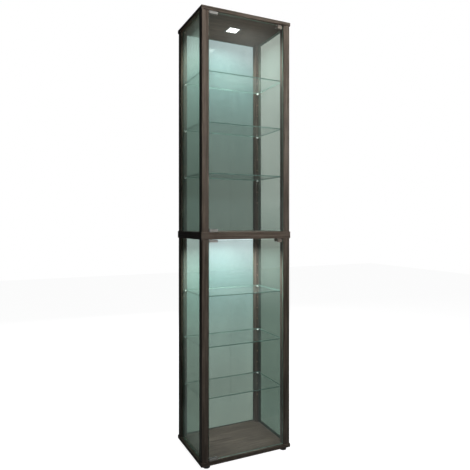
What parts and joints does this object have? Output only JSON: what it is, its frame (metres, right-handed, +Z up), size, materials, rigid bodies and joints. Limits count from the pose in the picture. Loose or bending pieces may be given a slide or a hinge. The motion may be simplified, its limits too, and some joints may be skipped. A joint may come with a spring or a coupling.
{
  "type": "display cabinet",
  "caption": "Tall narrow two-storey glass display cabinet: dark wood-effect frame, frameless glass doors on pivot hinges, glass shelves on pins and a recessed lamp in each storey.",
  "frame": {"origin": "centre of the footprint, on the surface that the feet stand on", "axes": "+Z up, +Y towards the back, +X to the right of someone facing the doors"},
  "size_m": [0.42, 0.296, 1.88],
  "materials": {
    "wenge_board": "satin dark wenge-effect melamine board",
    "wenge_post": "satin dark wenge-effect foil wrap",
    "door_glass": "clear float glass, polished edges",
    "pane_glass": "clear float glass, faint green",
    "shelf_glass": "clear float glass, polished edges",
    "pin_steel": "polished nickel",
    "screw_steel": "zinc plated",
    "hinge_metal": "satin nickel",
    "strike_steel": "satin nickel",
    "beech": "raw beech",
    "cap_plastic": "dark brown moulded",
    "foot_plastic": "black moulded",
    "liner_rubber": "soft dark grey",
    "bush_plastic": "black moulded",
    "catch_plastic": "dark brown moulded",
    "magnet": "ferrite grey",
    "lamp_metal": "dark grey anodised",
    "opal": "opal, lit from behind",
    "led_board": "white solder mask"
  },
  "bodies": {
    "cabinet": {"bottom_board": "wenge_board", "catch_magnets": "magnet", "catch_screws": "screw_steel", "feet": "foot_plastic", "foot_screws": "screw_steel", "lead_grommets": "cap_plastic", "led_boards": "led_board", "lower_back_pane": "pane_glass", "lower_catch_housing": "catch_plastic", "lower_frame_dowels": "beech", "lower_frame_screws": "screw_steel", "lower_lamp_diffuser": "opal", "lower_lamp_housing": "lamp_metal", "lower_pivot_bushes": "bush_plastic", "lower_post_front_left": "wenge_post", "lower_post_front_right": "wenge_post", "lower_post_rear_left": "wenge_post", "lower_post_rear_right": "wenge_post", "lower_shelf_bottom": "shelf_glass", "lower_shelf_middle": "shelf_glass", "lower_shelf_pins": "pin_steel", "lower_shelf_top": "shelf_glass", "lower_side_pane_left": "pane_glass", "lower_side_pane_right": "pane_glass", "lower_top_board": "wenge_board", "screw_caps": "cap_plastic", "stacking_dowels": "beech", "top_board": "wenge_board", "upper_back_pane": "pane_glass", "upper_bottom_board": "wenge_board", "upper_catch_housing": "catch_plastic", "upper_frame_dowels": "beech", "upper_frame_screws": "screw_steel", "upper_lamp_diffuser": "opal", "upper_lamp_housing": "lamp_metal", "upper_pivot_bushes": "bush_plastic", "upper_post_front_left": "wenge_post", "upper_post_front_right": "wenge_post", "upper_post_rear_left": "wenge_post", "upper_post_rear_right": "wenge_post", "upper_shelf_bottom": "shelf_glass", "upper_shelf_middle": "shelf_glass", "upper_shelf_pins": "pin_steel", "upper_shelf_top": "shelf_glass", "upper_side_pane_left": "pane_glass", "upper_side_pane_right": "pane_glass"},
    "upper_door": {"upper_door_clamp_bottom": "hinge_metal", "upper_door_clamp_screws": "screw_steel", "upper_door_clamp_top": "hinge_metal", "upper_door_liners": "liner_rubber", "upper_door_pane": "door_glass", "upper_door_pivot_pins": "pin_steel", "upper_door_strike_clip": "strike_steel"},
    "lower_door": {"lower_door_clamp_bottom": "hinge_metal", "lower_door_clamp_screws": "screw_steel", "lower_door_clamp_top": "hinge_metal", "lower_door_liners": "liner_rubber", "lower_door_pane": "door_glass", "lower_door_pivot_pins": "pin_steel", "lower_door_strike_clip": "strike_steel"}
  },
  "joints": [
    {"name": "upper_door_hinge", "type": "hinge", "parent": "cabinet", "child": "upper_door", "pos_m": [-0.166, -0.141, 1.4125], "axis": [0, 0, -1], "range_deg": [0, 105]},
    {"name": "lower_door_hinge", "type": "hinge", "parent": "cabinet", "child": "lower_door", "pos_m": [-0.166, -0.141, 0.4775], "axis": [0, 0, -1], "range_deg": [0, 105]}
  ]
}
